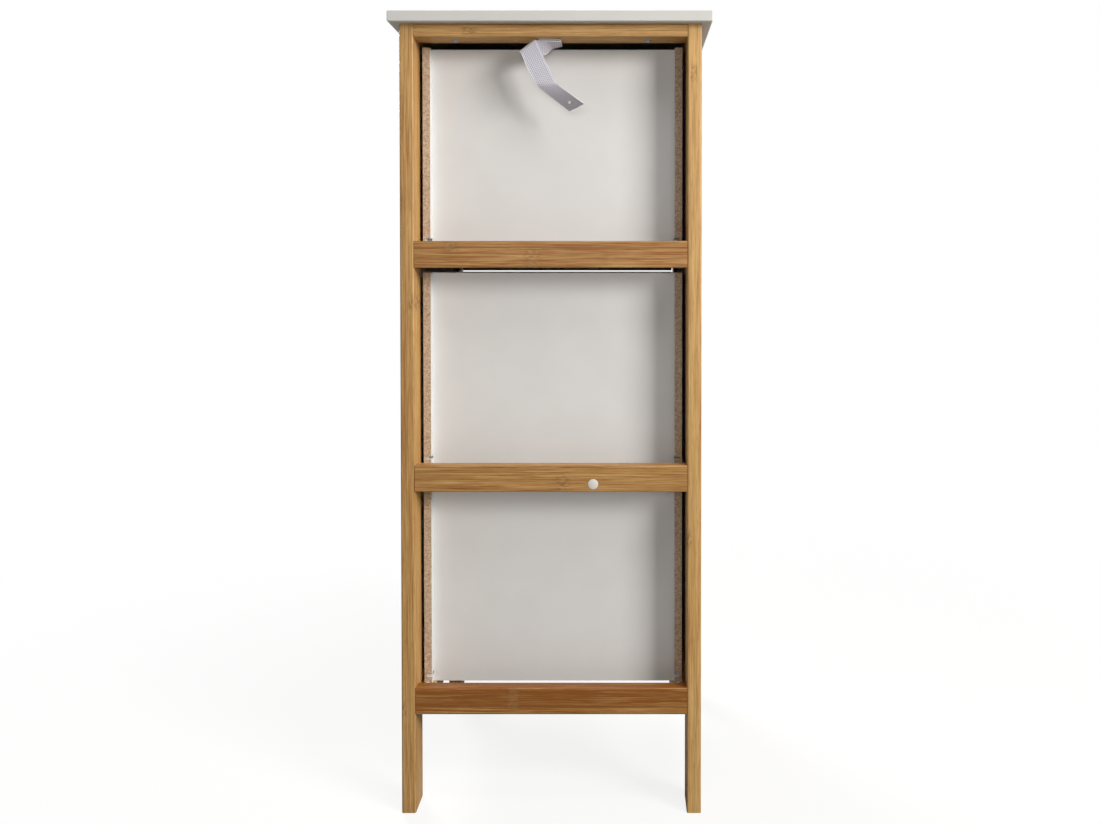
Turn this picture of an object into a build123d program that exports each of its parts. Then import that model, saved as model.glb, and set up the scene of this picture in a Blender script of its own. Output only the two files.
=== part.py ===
"""Narrow bathroom chest of drawers: bamboo frame, white panels and three drawers on side runners.

Millimetres. X runs left to right as seen from the front, Y from the front to the rear, Z up.
The origin is on the floor, in the middle of the space that the whole chest takes up.
"""
import os
from build123d import *

# Overall size
overall_height = 900.0
frame_width = 338.0
frame_depth = 310.0

# Top board
board_thickness = 12.0
side_overhang = 11.0
end_overhang = 10.0
board_edge_chamfer = 0.8

# Legs
leg_thickness = 16.0
leg_depth = 36.0
leg_round = 2.0

# Cross rails between the legs
rail_height = 30.0
rail_depth = 15.0
rail_round = 1.5
top_rail_height = 14.5
top_rail_depth = 30.0
lowest_rail_top = 142.0
drawer_pitch = 252.0
drawer_count = 3

# Side frames: rails and panels held in a groove along the legs
side_rail_height = 40.0
panel_thickness = 6.0
panel_groove_depth = 8.0
panel_play = 0.1
panel_end_play = 0.5

# Drawer boxes
box_side_gap = 4.2
box_side_thickness = 8.5
box_rear_gap = 27.0
box_top_gap = 5.5
box_back_thickness = 10.0
box_back_inset = 10.0
bottom_thickness = 3.0
bottom_play = 0.15
bottom_groove_depth = 5.5
bottom_seat = 5.0
groove_above_rail = 0.8
side_below_groove = 9.0

# Drawer fronts
front_thickness = 15.0
front_gap = 1.8
front_drop = 4.6
front_side_gap = 1.8
front_edge_round = 1.0

# Knobs, turned, with their round drawn as many flat sides
knob_reach = 24.0
knob_head_radius = 15.0
knob_head_length = 12.0
knob_neck_radius = 7.0
knob_rim_chamfer = 1.2
knob_sides = 24

# Runners under the drawer sides, with a stop peg at the rear
runner_width = 16.0
runner_height = 20.0
runner_round = 1.0
runner_front_gap = 1.0
slide_clearance = 0.3
stop_peg_radius = 3.0
stop_peg_depth = 8.0
stop_peg_rise = 4.0

# Fasteners. Round rods and holes this small are drawn with flat sides: few where they are
# hidden, more on the heads that show.
hidden_sides = 6
head_sides = 12
bolt_head_radius = 4.5
bolt_head_height = 3.0
bolt_shank_radius = 3.0
bolt_length = 48.0
bolt_sink = 0.6
bolt_socket_radius = 2.3
bolt_socket_depth = 2.0
dowel_radius = 3.0
dowel_length = 28.0
dowel_in_leg = 10.0
hole_play = 0.05
joint_pair_spacing = 13.0
screw_head_radius = 3.5
screw_head_height = 2.2
screw_shank_radius = 1.75
runner_screw_length = 27.0
runner_screw_from_leg_edge = 10.0
board_screw_head_radius = 4.2
board_screw_head_height = 1.8
board_screw_length = 22.0
board_screw_offset = 109.0
board_screw_setback = 18.0
board_dowel_offset = 41.0
board_dowel_length = 22.0
back_screw_length = 34.0
back_screw_edge = 45.0
cam_radius = 6.0
cam_height = 6.5
cam_setback = 24.0
cam_edge = 40.0
cam_bolt_radius = 2.5
cam_bolt_in_front = 10.0
knob_screw_radius = 2.0
knob_screw_head_radius = 4.0
knob_screw_head_height = 2.4
knob_screw_bite = 14.0

# Anti tip strap, folded webbing screwed under the rear top rail
strap_thickness = 1.2
strap_top_gap = 0.1
strap_screw_x = 4.0
strap_screw_setback = 19.0
strap_screw_bite = 11.0
strap_screw_head_height = 1.2
strap_hole_radius = 2.0
strap_hole_from_end = 10.0

# Round paper dot on the middle rear rail
dot_sides = 32
dot_radius = 5.7
dot_thickness = 0.3
dot_x = -47.3
dot_above_rail_bottom = 9.0

# Places worked out from the sizes above
rear_plane = (end_overhang + frame_depth + knob_reach) / 2 - end_overhang
front_plane = rear_plane - frame_depth
frame_middle = (rear_plane + front_plane) / 2
leg_height = overall_height - board_thickness
leg_outer = frame_width / 2
leg_inner = leg_outer - leg_thickness
leg_middle = leg_outer - leg_thickness / 2
top_rail_bottom = leg_height - top_rail_height
rail_tops = [lowest_rail_top + drawer_pitch * level for level in range(drawer_count)]
side_rail_bottom = lowest_rail_top - side_rail_height
side_rail_length = frame_depth - 2 * leg_depth

box_outer = leg_inner - box_side_gap
box_inner = box_outer - box_side_thickness
box_front = front_plane + front_thickness
box_rear = rear_plane - box_rear_gap
back_rear = box_rear - box_back_inset
back_front = back_rear - box_back_thickness
groove_height = bottom_thickness + 2 * bottom_play
box_middle_side = (box_outer + box_inner) / 2

groove_levels = [top + groove_above_rail for top in rail_tops]
box_bottoms = [level - side_below_groove for level in groove_levels]
bay_tops = [top - rail_height for top in rail_tops[1:]] + [top_rail_bottom]
box_tops = [top - box_top_gap for top in bay_tops]
front_tops = [top - front_drop for top in bay_tops[:-1]] + [top_rail_bottom - front_gap]
front_bottoms = [box_bottoms[0]] + [top + front_gap for top in front_tops[:-1]]
front_half_width = leg_inner - front_side_gap
front_rail_top = front_bottoms[0] - front_gap
knob_levels = [(low + high) / 2 for low, high in zip(front_bottoms, front_tops)]

runner_inner = leg_inner - runner_width
runner_front = box_front + runner_front_gap
runner_rear = rear_plane - rail_depth
runner_screw_setback = leg_depth - runner_screw_from_leg_edge
stop_peg_y = box_rear + slide_clearance + stop_peg_radius
bolt_in_rail = bolt_length - leg_thickness + bolt_sink
runner_tops = [low - slide_clearance for low in box_bottoms]
strap_layer_drop = strap_top_gap + strap_thickness
strap_middle_drop = strap_top_gap + strap_thickness / 2

drawer_names = ["bottom_drawer", "middle_drawer", "top_drawer"]
sides = {"left": -1, "right": 1}
ends = {"front": -1, "rear": 1}
end_planes = {"front": front_plane, "rear": rear_plane}

os.makedirs("parts", exist_ok=True)


def write(builder, label):
    """Label a finished piece and write it."""
    builder.part.label = label
    export_step(builder.part, f"parts/{label}.step")


def span_box(x_span, y_span, z_span, mode=Mode.ADD):
    """A box between two values on each axis, in the part being built."""
    size = [high - low for low, high in (x_span, y_span, z_span)]
    middle = [(high + low) / 2 for low, high in (x_span, y_span, z_span)]
    with Locations(tuple(middle)):
        Box(*size, mode=mode)


def rod(start, direction, radius, length, mode=Mode.ADD, sides=hidden_sides):
    """A straight rod from a point along a direction, or with Mode.SUBTRACT a hole."""
    with BuildSketch(Plane(origin=start, z_dir=direction)) as section:
        RegularPolygon(radius, sides)
    extrude(section.sketch, amount=length, mode=mode)


def countersink(start, direction, play=0.0, mode=Mode.ADD):
    """The cone under a countersunk head, from the face that it is flush with."""
    axis = Vector(direction)
    with BuildSketch(Plane(origin=start, z_dir=axis)) as rim:
        RegularPolygon(screw_head_radius + play, hidden_sides)
    with BuildSketch(Plane(origin=Vector(start) + axis * screw_head_height, z_dir=axis)) as neck:
        RegularPolygon(screw_shank_radius + play, hidden_sides)
    loft([rim.sketch.face(), neck.sketch.face()], ruled=True, mode=mode)


def flat_screw(start, direction, length):
    """A countersunk screw whose head is flush with the face it starts from."""
    countersink(start, direction)
    rod(start, direction, screw_shank_radius, length)


def flat_screw_hole(start, direction, length):
    """The hole that a countersunk screw fills."""
    countersink(start, direction, hole_play, Mode.SUBTRACT)
    rod(start, direction, screw_shank_radius + hole_play, length + hole_play, Mode.SUBTRACT)


def pan_screw(face_point, direction, head_radius, head_height, shank_radius, length):
    """A screw whose round head stands on a face, with its shank along the direction."""
    rod(face_point, Vector(direction) * -1, head_radius, head_height, sides=head_sides)
    rod(face_point, direction, shank_radius, length)


# Cross rails: name, end of the frame, underside, height and depth
cross_rails = [
    ("rear_top_rail", "rear", top_rail_bottom, top_rail_height, top_rail_depth),
    ("front_top_rail", "front", top_rail_bottom, top_rail_height, top_rail_depth),
    ("rear_lower_rail", "rear", rail_tops[0] - rail_height, rail_height, rail_depth),
    ("rear_middle_rail", "rear", rail_tops[1] - rail_height, rail_height, rail_depth),
    ("rear_upper_rail", "rear", rail_tops[2] - rail_height, rail_height, rail_depth),
    ("front_bottom_rail", "front", front_rail_top - rail_height, rail_height, rail_depth),
]


def groove_span(side):
    """The panel groove's two sides across the thickness of a side frame."""
    half = panel_thickness / 2 + panel_play
    return side * leg_middle - half, side * leg_middle + half


def rail_joint_points(end, underside, height, depth):
    """Where the bolt and the dowel cross a rail's end, side by side or one above the other."""
    middle_y = end_planes[end] - ends[end] * depth / 2
    middle_z = underside + height / 2
    half = joint_pair_spacing / 2
    if height < depth:
        return (middle_y - half, middle_z), (middle_y + half, middle_z)
    return (middle_y, middle_z + half), (middle_y, middle_z - half)


# Top board
with BuildPart() as top_board:
    span_box((-leg_outer - side_overhang, leg_outer + side_overhang),
             (front_plane - end_overhang, rear_plane + end_overhang), (leg_height, overall_height))
    chamfer(top_board.edges(), board_edge_chamfer)
    for end, sign in ends.items():
        fixing_y = end_planes[end] - sign * board_screw_setback
        for screw_x in (-board_screw_offset, board_screw_offset):
            rod((screw_x, fixing_y, leg_height), (0, 0, 1), screw_shank_radius + hole_play,
                board_screw_length - top_rail_height + hole_play, Mode.SUBTRACT)
        rod((board_dowel_offset, fixing_y, leg_height), (0, 0, 1), dowel_radius + hole_play,
            board_dowel_length - top_rail_height + hole_play, Mode.SUBTRACT)
write(top_board, "top_board")

# Legs, each with the groove for the side panel and the holes for the rail joints
for side_name, side in sides.items():
    for end, sign in ends.items():
        outer_y = end_planes[end]
        inner_y = outer_y - sign * leg_depth
        with BuildPart() as leg:
            with BuildSketch():
                with Locations((side * leg_middle, (outer_y + inner_y) / 2)):
                    RectangleRounded(leg_thickness, leg_depth, leg_round)
            extrude(amount=leg_height)
            span_box(groove_span(side), sorted((inner_y, inner_y + sign * panel_groove_depth)),
                     (side_rail_bottom, leg_height), Mode.SUBTRACT)
            for _, rail_end, underside, height, depth in cross_rails:
                if rail_end == end:
                    bolt_at, dowel_at = rail_joint_points(end, underside, height, depth)
                    rod((side * leg_inner, *bolt_at), (side, 0, 0), bolt_shank_radius + hole_play,
                        leg_thickness, Mode.SUBTRACT)
                    rod((side * leg_outer, *bolt_at), (-side, 0, 0), bolt_head_radius + hole_play,
                        bolt_head_height + bolt_sink, Mode.SUBTRACT, head_sides)
                    rod((side * leg_inner, *dowel_at), (side, 0, 0), dowel_radius + hole_play,
                        dowel_in_leg, Mode.SUBTRACT)
            for top in runner_tops:
                rod((side * leg_inner, outer_y - sign * runner_screw_setback, top - runner_height / 2),
                    (side, 0, 0), screw_shank_radius + hole_play,
                    runner_screw_length - runner_width + hole_play, Mode.SUBTRACT)
        write(leg, f"{end}_{side_name}_leg")

# Side frames: a flat rail at the top, a deeper one at the bottom, and a panel in the grooves
for side_name, side in sides.items():
    for level_name, low, high in (("top", top_rail_bottom, leg_height),
                                  ("bottom", side_rail_bottom, lowest_rail_top)):
        with BuildPart() as side_rail:
            with BuildSketch(Plane.XZ.offset(-frame_middle)):
                with Locations((side * leg_middle, (low + high) / 2)):
                    RectangleRounded(leg_thickness, high - low, rail_round)
            extrude(amount=side_rail_length / 2, both=True)
            tenon_reach = side_rail_length / 2 + panel_groove_depth - panel_end_play
            with Locations((side * leg_middle, frame_middle, (low + high) / 2)):
                Box(panel_thickness, 2 * tenon_reach, high - low - 2 * rail_round)
            groove_z = (low, low + panel_groove_depth)
            if level_name == "bottom":
                groove_z = (high - panel_groove_depth, high)
            span_box(groove_span(side), (frame_middle - tenon_reach, frame_middle + tenon_reach),
                     groove_z, Mode.SUBTRACT)
        write(side_rail, f"{side_name}_side_{level_name}_rail")
    with BuildPart() as side_panel:
        panel_half_length = side_rail_length / 2 + panel_groove_depth - panel_end_play
        span_box((side * leg_middle - panel_thickness / 2, side * leg_middle + panel_thickness / 2),
                 (frame_middle - panel_half_length, frame_middle + panel_half_length),
                 (lowest_rail_top - panel_groove_depth + panel_end_play,
                  top_rail_bottom + panel_groove_depth - panel_end_play))
    write(side_panel, f"{side_name}_side_panel")

# Cross rails, with the holes for the bolts and dowels in their ends
for rail_name, end, underside, height, depth in cross_rails:
    bolt_at, dowel_at = rail_joint_points(end, underside, height, depth)
    rail_y = end_planes[end] - ends[end] * depth / 2
    with BuildPart() as rail:
        with BuildSketch(Plane.YZ):
            with Locations((rail_y, underside + height / 2)):
                RectangleRounded(depth, height, rail_round)
        extrude(amount=leg_inner, both=True)
        for side in sides.values():
            rod((side * leg_inner, *bolt_at), (-side, 0, 0), bolt_shank_radius + hole_play,
                bolt_in_rail + hole_play, Mode.SUBTRACT)
            rod((side * leg_inner, *dowel_at), (-side, 0, 0), dowel_radius + hole_play,
                dowel_length - dowel_in_leg + hole_play, Mode.SUBTRACT)
        if underside == top_rail_bottom:
            fixing_y = end_planes[end] - ends[end] * board_screw_setback
            for screw_x in (-board_screw_offset, board_screw_offset):
                rod((screw_x, fixing_y, underside), (0, 0, 1), screw_shank_radius + hole_play,
                    height, Mode.SUBTRACT)
            rod((board_dowel_offset, fixing_y, underside), (0, 0, 1), dowel_radius + hole_play,
                height, Mode.SUBTRACT)
        if rail_name == "rear_top_rail":
            rod((strap_screw_x, rear_plane - strap_screw_setback, underside), (0, 0, 1),
                screw_shank_radius + hole_play, strap_screw_bite + hole_play, Mode.SUBTRACT)
    write(rail, rail_name)

# Bolts through the legs into the rails, and the dowels beside them
with BuildPart() as rail_bolts:
    for _, end, underside, height, depth in cross_rails:
        bolt_at, _ = rail_joint_points(end, underside, height, depth)
        for side in sides.values():
            head_top = Vector(side * (leg_outer - bolt_sink), *bolt_at)
            rod(head_top, (-side, 0, 0), bolt_head_radius, bolt_head_height, sides=head_sides)
            rod(head_top, (-side, 0, 0), bolt_shank_radius, bolt_length)
            with BuildSketch(Plane(origin=head_top, z_dir=(-side, 0, 0))) as socket:
                RegularPolygon(bolt_socket_radius, 6)
            extrude(socket.sketch, amount=bolt_socket_depth, mode=Mode.SUBTRACT)
write(rail_bolts, "rail_bolts")

with BuildPart() as rail_dowels:
    for _, end, underside, height, depth in cross_rails:
        _, dowel_at = rail_joint_points(end, underside, height, depth)
        for side in sides.values():
            rod((side * (leg_inner + dowel_in_leg), *dowel_at), (-side, 0, 0), dowel_radius,
                dowel_length)
write(rail_dowels, "rail_dowels")

# Fixings of the top board, from below through the top rails
with BuildPart() as board_screws:
    for end, sign in ends.items():
        fixing_y = end_planes[end] - sign * board_screw_setback
        for screw_x in (-board_screw_offset, board_screw_offset):
            pan_screw((screw_x, fixing_y, top_rail_bottom), (0, 0, 1), board_screw_head_radius,
                      board_screw_head_height, screw_shank_radius, board_screw_length)
write(board_screws, "board_screws")

with BuildPart() as board_dowels:
    for end, sign in ends.items():
        rod((board_dowel_offset, end_planes[end] - sign * board_screw_setback, top_rail_bottom),
            (0, 0, 1), dowel_radius, board_dowel_length)
write(board_dowels, "board_dowels")

# Runners along the legs, their screws, and the pegs that stop the closed drawers
for level, top in enumerate(runner_tops):
    for side_name, side in sides.items():
        x_span = sorted((side * runner_inner, side * leg_inner))
        with BuildPart() as runner:
            span_box(x_span, (runner_front, runner_rear), (top - runner_height, top))
            inner_edges = runner.edges().filter_by(Axis.Y).group_by(Axis.X)[0 if side > 0 else -1]
            fillet(inner_edges, runner_round)
            for end, sign in ends.items():
                flat_screw_hole((side * runner_inner, end_planes[end] - sign * runner_screw_setback,
                                 top - runner_height / 2), (side, 0, 0), runner_width)
            rod((side * box_middle_side, stop_peg_y, top), (0, 0, -1), stop_peg_radius + hole_play,
                stop_peg_depth + hole_play, Mode.SUBTRACT)
        write(runner, f"{drawer_names[level]}_{side_name}_runner")

with BuildPart() as runner_screws:
    for top in runner_tops:
        for side in sides.values():
            for end, sign in ends.items():
                flat_screw((side * runner_inner, end_planes[end] - sign * runner_screw_setback,
                            top - runner_height / 2), (side, 0, 0), runner_screw_length)
write(runner_screws, "runner_screws")

with BuildPart() as stop_pegs:
    for top in runner_tops:
        for side in sides.values():
            rod((side * box_middle_side, stop_peg_y, top - stop_peg_depth), (0, 0, 1),
                stop_peg_radius, stop_peg_depth + stop_peg_rise)
write(stop_pegs, "stop_pegs")

# Drawers
for level, name in enumerate(drawer_names):
    low, high = box_bottoms[level], box_tops[level]
    groove_z = (groove_levels[level], groove_levels[level] + groove_height)
    knob_z = knob_levels[level]
    cam_bolt_levels = (low + cam_edge, high - cam_edge)
    back_screw_levels = (low + back_screw_edge, high - back_screw_edge)
    back_middle = (back_rear + back_front) / 2
    bottom_half_width = box_inner + bottom_seat

    with BuildPart() as front:
        span_box((-front_half_width, front_half_width), (front_plane, box_front),
                 (front_bottoms[level], front_tops[level]))
        fillet(front.faces().sort_by(Axis.Y)[0].edges(), front_edge_round)
        span_box((-box_inner - bottom_groove_depth, box_inner + bottom_groove_depth),
                 (box_front - bottom_groove_depth, box_front), groove_z, Mode.SUBTRACT)
        rod((0, front_plane, knob_z), (0, 1, 0), knob_screw_radius + hole_play, front_thickness,
            Mode.SUBTRACT)
        for side in sides.values():
            for bolt_z in cam_bolt_levels:
                rod((side * box_middle_side, box_front, bolt_z), (0, -1, 0),
                    cam_bolt_radius + hole_play, cam_bolt_in_front + hole_play, Mode.SUBTRACT)
    write(front, f"{name}_front")

    for side_name, side in sides.items():
        with BuildPart() as box_side:
            span_box(sorted((side * box_inner, side * box_outer)), (box_front, box_rear), (low, high))
            span_box(sorted((side * box_inner, side * (box_inner + bottom_groove_depth))),
                     (box_front, box_rear), groove_z, Mode.SUBTRACT)
            for bolt_z in cam_bolt_levels:
                rod((side * box_inner, box_front + cam_setback, bolt_z), (side, 0, 0),
                    cam_radius + hole_play, cam_height + hole_play, Mode.SUBTRACT, head_sides)
                rod((side * box_middle_side, box_front, bolt_z), (0, 1, 0),
                    cam_bolt_radius + hole_play, cam_setback, Mode.SUBTRACT)
            for screw_z in back_screw_levels:
                flat_screw_hole((side * box_outer, back_middle, screw_z), (-side, 0, 0),
                                box_side_thickness)
        write(box_side, f"{name}_{side_name}_side")

    with BuildPart() as back:
        span_box((-box_inner, box_inner), (back_front, back_rear), (low, high))
        span_box((-box_inner, box_inner), (back_front, back_front + bottom_groove_depth), groove_z,
                 Mode.SUBTRACT)
        for side in sides.values():
            for screw_z in back_screw_levels:
                rod((side * box_inner, back_middle, screw_z), (-side, 0, 0),
                    screw_shank_radius + hole_play,
                    back_screw_length - box_side_thickness + hole_play, Mode.SUBTRACT)
    write(back, f"{name}_back")

    with BuildPart() as bottom:
        span_box((-bottom_half_width, bottom_half_width),
                 (box_front - bottom_seat, back_front + bottom_seat),
                 (groove_z[0] + bottom_play, groove_z[1] - bottom_play))
    write(bottom, f"{name}_bottom")

    with BuildPart() as fasteners:
        for side in sides.values():
            for bolt_z in cam_bolt_levels:
                rod((side * box_inner, box_front + cam_setback, bolt_z), (side, 0, 0), cam_radius,
                    cam_height, sides=head_sides)
                rod((side * box_middle_side, box_front - cam_bolt_in_front, bolt_z), (0, 1, 0),
                    cam_bolt_radius, cam_bolt_in_front + cam_setback - cam_radius - hole_play)
            for screw_z in back_screw_levels:
                flat_screw((side * box_outer, back_middle, screw_z), (-side, 0, 0),
                           back_screw_length)
    write(fasteners, f"{name}_fasteners")

    with BuildPart() as knob:
        rod((0, front_plane, knob_z), (0, -1, 0), knob_neck_radius, knob_reach, sides=knob_sides)
        rod((0, front_plane - knob_reach + knob_head_length, knob_z), (0, -1, 0),
            knob_head_radius, knob_head_length, sides=knob_sides)
        chamfer(knob.faces().sort_by(Axis.Y)[0].edges(), knob_rim_chamfer)
        rod((0, front_plane, knob_z), (0, -1, 0), knob_screw_radius + hole_play,
            knob_screw_bite + hole_play, Mode.SUBTRACT)
    write(knob, f"{name}_knob")

    with BuildPart() as knob_screw:
        pan_screw((0, box_front, knob_z), (0, -1, 0), knob_screw_head_radius,
                  knob_screw_head_height, knob_screw_radius, front_thickness + knob_screw_bite)
    write(knob_screw, f"{name}_knob_screw")

# Strap: both edges of the webbing, as X, distance in from the rear plane, and drop below the
# top rail. It is screwed flat under the rail, doubles back at one end, twists as it peels away,
# folds over once more and hangs in two stretches.
strap_edges = [
    ((14.0, 7.5, strap_middle_drop), (14.0, 29.5, strap_middle_drop)),
    ((-9.5, 7.5, strap_middle_drop), (-9.5, 29.5, strap_middle_drop)),
    ((-11.6, 7.5, 2.1), (-11.6, 29.5, 2.3)),
    ((-9.5, 7.6, 3.5), (-9.5, 29.3, 4.0)),
    ((-4.3, 7.8, 2.8), (-0.7, 29.0, 5.0)),
    ((2.9, 7.6, 2.4), (3.8, 26.5, 10.2)),
    ((9.9, 7.4, 2.2), (8.4, 20.5, 17.5)),
    ((16.6, 7.6, 2.2), (33.4, 7.6, 15.4)),
    ((18.2, 6.0, 1.9), (35.1, 6.0, 15.0)),
    ((16.8, 4.4, 3.4), (33.6, 4.4, 16.6)),
    ((6.7, 3.0, 25.0), (27.5, 3.5, 31.7)),
    ((-5.0, 0.0, 49.5), (16.6, 1.0, 51.7)),
    ((-8.0, -3.0, 53.6), (12.9, 2.5, 56.6)),
    ((-38.3, -8.9, 76.2), (-20.9, 3.0, 82.3)),
]


def strap_point(edge_point):
    """A point on an edge of the strap, in the chest's own axes."""
    x, inwards, drop = edge_point
    return Vector(x, rear_plane - inwards, top_rail_bottom - drop)


strap_middles = [(strap_point(near) + strap_point(far)) / 2 for near, far in strap_edges]
with BuildPart() as anti_tip_strap:
    for index, (near, far) in enumerate(strap_edges):
        width = strap_point(far) - strap_point(near)
        before = strap_middles[max(index - 1, 0)]
        after = strap_middles[min(index + 1, len(strap_middles) - 1)]
        run = after - before
        run = run - width * (run.dot(width) / width.length ** 2)
        with BuildSketch(Plane(origin=strap_middles[index], x_dir=width, z_dir=run)):
            Rectangle(width.length, strap_thickness)
    loft(ruled=True)
    rod((strap_screw_x, rear_plane - strap_screw_setback, top_rail_bottom), (0, 0, -1),
        screw_shank_radius + hole_play, strap_layer_drop, Mode.SUBTRACT)
    last_run = (strap_middles[-1] - strap_middles[-2]).normalized()
    hole_at = strap_middles[-1] - last_run * strap_hole_from_end
    hole_axis = last_run.cross(strap_point(strap_edges[-1][1]) - strap_point(strap_edges[-1][0]))
    hole_start = hole_at - hole_axis.normalized() * strap_thickness
    rod(hole_start, hole_axis, strap_hole_radius, 2 * strap_thickness, Mode.SUBTRACT)
write(anti_tip_strap, "anti_tip_strap")

with BuildPart() as strap_screw:
    pan_screw((strap_screw_x, rear_plane - strap_screw_setback, top_rail_bottom - strap_layer_drop),
              (0, 0, 1), screw_head_radius, strap_screw_head_height, screw_shank_radius,
              strap_screw_bite + strap_layer_drop)
write(strap_screw, "strap_screw")

# Paper dot on the rear face of the middle rail
with BuildPart() as paper_dot:
    rod((dot_x, rear_plane, rail_tops[1] - rail_height + dot_above_rail_bottom), (0, 1, 0),
        dot_radius, dot_thickness, sides=dot_sides)
write(paper_dot, "paper_dot")
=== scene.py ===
"""Dresses a narrow bathroom chest of drawers: laminated bamboo frame, white boards, grey top board,
turned knobs, steel fasteners and a webbing strap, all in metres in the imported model's own frame."""

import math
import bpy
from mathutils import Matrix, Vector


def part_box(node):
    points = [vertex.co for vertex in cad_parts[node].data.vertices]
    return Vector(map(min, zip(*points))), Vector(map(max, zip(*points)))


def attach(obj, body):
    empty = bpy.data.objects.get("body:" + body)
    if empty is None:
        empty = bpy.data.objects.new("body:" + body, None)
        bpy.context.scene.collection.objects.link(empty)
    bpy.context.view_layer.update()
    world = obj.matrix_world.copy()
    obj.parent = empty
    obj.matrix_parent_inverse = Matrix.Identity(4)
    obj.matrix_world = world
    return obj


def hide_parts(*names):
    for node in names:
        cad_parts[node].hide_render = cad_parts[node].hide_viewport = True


bl_info = {
    "name": "Bathroom chest of drawers",
    "version": (1, 0, 0),
    "blender": (4, 5, 0),
    "location": "3D View > Sidebar > Chest",
    "description": "Finishes, turned pieces, fasteners, strap and stage of a bathroom chest",
    "category": "Object",
}

import bmesh
import bpy
from mathutils import Matrix, Vector

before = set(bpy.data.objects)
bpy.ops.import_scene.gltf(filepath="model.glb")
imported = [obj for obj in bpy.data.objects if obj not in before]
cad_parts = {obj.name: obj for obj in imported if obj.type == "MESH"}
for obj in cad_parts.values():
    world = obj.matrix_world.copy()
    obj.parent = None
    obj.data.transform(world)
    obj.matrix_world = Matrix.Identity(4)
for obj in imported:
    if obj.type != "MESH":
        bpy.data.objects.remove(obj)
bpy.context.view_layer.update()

MM = 0.001
STRAP_WIDTH = 22 * MM
DRAWERS = ("bottom_drawer", "middle_drawer", "top_drawer")
SIDES = {"left": -1, "right": 1}

# Faces that the pieces are placed from
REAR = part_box("rear_left_leg")[1].y
TOP_RAIL_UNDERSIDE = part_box("rear_top_rail")[0].z


def linear(hex_colour):
    """An sRGB hex colour as linear red, green, blue and alpha."""
    channels = [int(hex_colour[i:i + 2], 16) / 255 for i in (0, 2, 4)]
    return [c / 12.92 if c <= 0.04045 else ((c + 0.055) / 1.055) ** 2.4 for c in channels] + [1.0]


def colour_property(name, description, hex_colour):
    """A colour that the panel shows, from an sRGB hex value."""
    return bpy.props.FloatVectorProperty(name=name, description=description, subtype="COLOR", size=4,
                                         min=0.0, max=1.0, default=linear(hex_colour))


def length_property(name, description, metres):
    """A length that the panel shows, in metres."""
    return bpy.props.FloatProperty(name=name, description=description, unit="LENGTH", min=0.0,
                                   precision=4, default=metres)


class ChestColours(bpy.types.PropertyGroup):
    """Colours of the finishes."""

    bamboo_light: colour_property("Bamboo light", "Pale fibres of the lacquered bamboo", "D9AF6E")
    bamboo_dark: colour_property("Bamboo dark", "Dark fibres of the lacquered bamboo", "8A5010")
    bamboo_knuckle: colour_property("Bamboo knuckle", "Growth rings across the strips", "6B4019")
    laminate: colour_property("Top board", "Grey melamine of the top board", "D4D3CF")
    panel: colour_property("White boards", "White foil and paint on panels and boxes", "E4E3E1")
    lacquer: colour_property("Drawer fronts", "White lacquer of the fronts", "EDEDEA")
    chip_light: colour_property("Chipboard light", "Pale chips of the raw board ends", "E2CDB4")
    chip_dark: colour_property("Chipboard dark", "Dark chips of the raw board ends", "8F6E52")
    hardboard: colour_property("Hardboard", "Brown underside of the drawer bottoms", "8A6A48")
    birch: colour_property("Dowels", "Birch of the dowels", "DFC394")
    steel: colour_property("Steel", "Zinc on the screws and bolts", "B4B6B8")
    nylon: colour_property("Pegs", "Moulded nylon of the stop pegs", "E4E3DF")
    webbing: colour_property("Webbing", "Woven polyester of the strap", "DCD9E4")
    # Painted highlight: the pale colour drawn in a band along both edges of the webbing
    edge_highlight: colour_property("Selvedge", "Tight bright edge of the webbing", "F3F1F8")
    paper: colour_property("Paper dot", "Bare round paper dot", "E6E2DA")


class ChestSizes(bpy.types.PropertyGroup):
    """Sizes of the turned, forged and woven pieces."""

    knob_neck: length_property("Knob neck", "Radius of the knob's neck", 0.007)
    knob_edge: length_property("Knob edge", "Rounding at the rim of the knob's head", 0.003)
    bolt_head: length_property("Bolt head", "Radius of the frame bolts' heads", 0.0045)
    socket: length_property("Socket", "Radius of the hexagonal sockets", 0.0023)
    strap_thickness: length_property("Strap thickness", "Thickness of the webbing", 0.0012)
    webbing_rib: length_property("Webbing rib", "Distance between the woven ribs", 0.0022)


class ChestStage(bpy.types.PropertyGroup):
    """Camera and lamps."""

    camera_place: bpy.props.FloatVectorProperty(
        name="Camera", description="Where the camera stands", subtype="TRANSLATION",
        default=(-0.08105, 1.1619, 0.6126))
    camera_dip: bpy.props.FloatProperty(
        name="Camera dip", description="How far the camera looks down", subtype="ANGLE",
        default=0.0156)
    lens: bpy.props.FloatProperty(
        name="Lens", description="Focal length on a 36 mm sensor", unit="CAMERA", default=29.24)
    shift_x: bpy.props.FloatProperty(
        name="Shift X", description="Sideways shift of the picture", subtype="FACTOR",
        default=-0.0665)
    shift_y: bpy.props.FloatProperty(
        name="Shift Y", description="Upward shift of the picture", subtype="FACTOR",
        default=-0.1157)
    side_lamp: bpy.props.FloatProperty(
        name="Side lamp", description="Power of the soft lamp to the right of the camera", unit="POWER",
        default=59.0)
    top_lamp: bpy.props.FloatProperty(
        name="Top lamp", description="Power of the soft lamp overhead", unit="POWER", default=17.0)
    near_lamp: bpy.props.FloatProperty(
        name="Near lamp", description="Power of the weak lamp near the camera", unit="POWER",
        default=2.2)
    front_lamp: bpy.props.FloatProperty(
        name="Front lamp", description="Power of the lamp that shows the drawer fronts",
        unit="POWER", default=60.0)
    fill: bpy.props.FloatProperty(
        name="Fill", description="Strength of the light from all round", subtype="FACTOR",
        default=0.08)


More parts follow.
